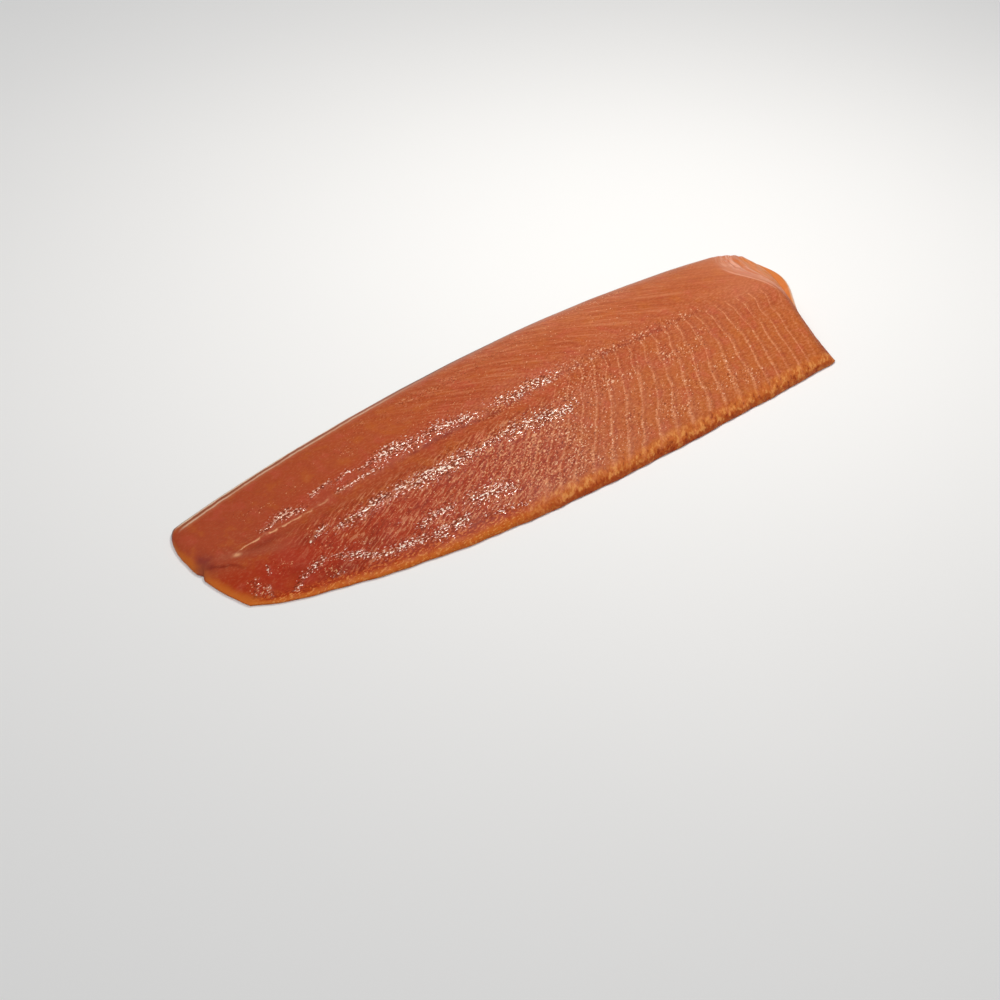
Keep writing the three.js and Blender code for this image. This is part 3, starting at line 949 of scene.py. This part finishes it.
    def layAll(self):
        self.layGround()
        self.layTail()
        self.layFibres()
        self.laySeams()
        self.layGrains()
        self.layMidLine()
        self.layHeadCut()
        uneven = self.swing(self.mottle, 0.06) + self.swing(self.patches, 0.06)
        self.layBellyRim(uneven)
        self.layTailEnd()
        self.layBackEdge(uneven)


# dry flesh, and wet grains that shine
def makeFlesh():
    look = fleshLook
    flesh = Flesh()
    flesh.layAll()
    added, least = look["grainDepth"]
    height = flesh.grain * (flesh.glint * added + least)
    added, least = look["fineDepth"]
    height = height + flesh.fine * (flesh.glint * added + least)
    weight, scale = look["subsurface"]
    shared = {
        "Base Color": flesh.flesh,
        "Normal": flesh.bump(height, mm),
        "Subsurface Weight": weight,
        "Subsurface Radius": look["subsurfaceRadius"],
        "Subsurface Scale": scale,
        "IOR": look["indexOfRefraction"],
    }
    swing, whereWet = look["uneven"]
    uneven = flesh.swing(flesh.mottle, swing)
    dry = flesh.principled({
        **shared,
        "Roughness": uneven + look["dryRoughness"],
        "Specular IOR Level": look["drySpecular"],
    })
    wet = flesh.principled({
        **shared,
        "Roughness": uneven * whereWet + look["wetRoughness"],
        "Specular IOR Level": look["wetSpecular"],
    })
    wetness = flesh.rise(flesh.highGrain, 0.48, 0.55) * flesh.wet
    return flesh.finish(flesh.add("MixShader", sockets={0: wetness, 1: dry, 2: wet}))


skinLook = {
    "silver": (150, 152, 150),
    "dark": (84, 88, 92),
    "scales": (260.0, 0.6),  # how many to a metre, depth in millimetres
    "blotches": (30.0, 4.0),  # how many to a metre, detail
    "roughness": (0.28, 0.45),
}


def makeSkin():
    look = skinLook
    shader = Shader("skin")
    place = shader.place()
    count, depth = look["scales"]
    scales = shader.add("TexVoronoi", {"feature": "F1"}, {"Vector": place, "Scale": count})
    blotch = shader.noise(place, *look["blotches"])
    colours = screenColour(*look["silver"]), screenColour(*look["dark"])
    return shader.finish(shader.principled({
        "Base Color": shader.mix(*colours, shader.rise(blotch, 0.4, 0.7)),
        "Roughness": shader.rise(blotch, 0.3, 0.7, *look["roughness"]),
        "Normal": shader.bump(scales, depth * mm),
    }))


studio = {
    "floorColour": (238, 239, 240),
    "floorHalf": 20.0,  # metres
    "floorDrop": 0.0001,
    "floorRoughness": (0.55, 0.65),
    "floorSpecular": 0.2,
    "floorClouds": (3.0, 3.0),  # how many to a metre, detail
    "camera": (-857.2, -1009.1, 951.2),  # millimetres
    "pitch": 37.584,  # degrees down
    "yaw": 39.426,  # degrees to the right
    "lens": 81.93,  # millimetres, as the sensor
    "sensor": 36.0,
    "lampPlace": (0.33, 0.16, 0.76),  # metres
    "lampAim": (-0.12, 0.0, 0.0),
    "lampSize": (0.08, 0.24),
    "lampPower": 4.0,
    "lampColour": (1.0, 0.95, 0.88),
    "fillFrom": (-0.8, -0.6, 1.7),
    "fillPower": 1.6,
    "fillSpread": 60.0,
    "roomLight": 0.15,
    "backdrop": 0.9,
}


def aimed(name, data, position, target):
    lamp = bpy.data.objects.new(name, data)
    lamp.location = position
    lamp.rotation_euler = (Vector(target) - Vector(position)).to_track_quat("-Z", "Y").to_euler()
    bpy.context.scene.collection.objects.link(lamp)
    return lamp


def buildFloor():
    mesh = bpy.data.meshes.new("floor")
    half = studio["floorHalf"]
    corners = [(-half, -half, 0.0), (half, -half, 0.0), (half, half, 0.0), (-half, half, 0.0)]
    mesh.from_pydata(corners, [], [(0, 1, 2, 3)])
    floor = bpy.data.objects.new("floor", mesh)
    floor.location.z = -studio["floorDrop"]
    bpy.context.scene.collection.objects.link(floor)
    shader = Shader("paleFloor")
    cloud = shader.noise(shader.place(), *studio["floorClouds"])
    mesh.materials.append(shader.finish(shader.principled({
        "Base Color": screenColour(*studio["floorColour"]),
        "Roughness": shader.rise(cloud, 0.3, 0.7, *studio["floorRoughness"]),
        "Specular IOR Level": studio["floorSpecular"],
    })))


def buildLights():
    soft = bpy.data.lights.new("stripBox", "AREA")
    soft.shape = "RECTANGLE"
    soft.size, soft.size_y = studio["lampSize"]
    soft.energy = studio["lampPower"]
    soft.color = studio["lampColour"]
    aimed("stripBox", soft, studio["lampPlace"], studio["lampAim"]).visible_camera = False
    fill = bpy.data.lights.new("fill", "SUN")
    fill.energy = studio["fillPower"]
    fill.angle = math.radians(studio["fillSpread"])
    aimed("fill", fill, studio["fillFrom"], (0.0, 0.0, 0.0))

    # even light all round, and a paler backdrop behind the floor's edge
    world = bpy.data.worlds.new("studio")
    world.use_nodes = True
    tree = world.node_tree
    back = tree.nodes["Background"]
    back.inputs["Color"].default_value = (1.0, 1.0, 1.0, 1.0)
    seen = tree.nodes.new("ShaderNodeLightPath")
    strength = tree.nodes.new("ShaderNodeMapRange")
    strength.inputs["To Min"].default_value = studio["roomLight"]
    strength.inputs["To Max"].default_value = studio["backdrop"]
    tree.links.new(seen.outputs["Is Camera Ray"], strength.inputs["Value"])
    tree.links.new(strength.outputs[0], back.inputs["Strength"])
    bpy.context.scene.world = world


def buildCamera():
    data = bpy.data.cameras.new("camera")
    data.lens = studio["lens"]
    data.sensor_width = studio["sensor"]
    camera = bpy.data.objects.new("camera", data)
    camera.location = [c * mm for c in studio["camera"]]
    camera.rotation_euler = (math.radians(90.0 - studio["pitch"]), 0.0, math.radians(-studio["yaw"]))
    bpy.context.scene.collection.objects.link(camera)
    bpy.context.scene.camera = camera
    bpy.context.scene.view_settings.view_transform = "Standard"
    print("studio ready")


salmon = buildFillet("salmonSide")
salmon.data.materials.append(makeFlesh())
salmon.data.materials.append(makeSkin())
underside = salmon.data.polygons[len(salmon.data.polygons) - 1]
underside.material_index = 1
underside.use_smooth = False
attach(salmon, "root")
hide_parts(fillet["node"])
buildFloor()
buildLights()
buildCamera()
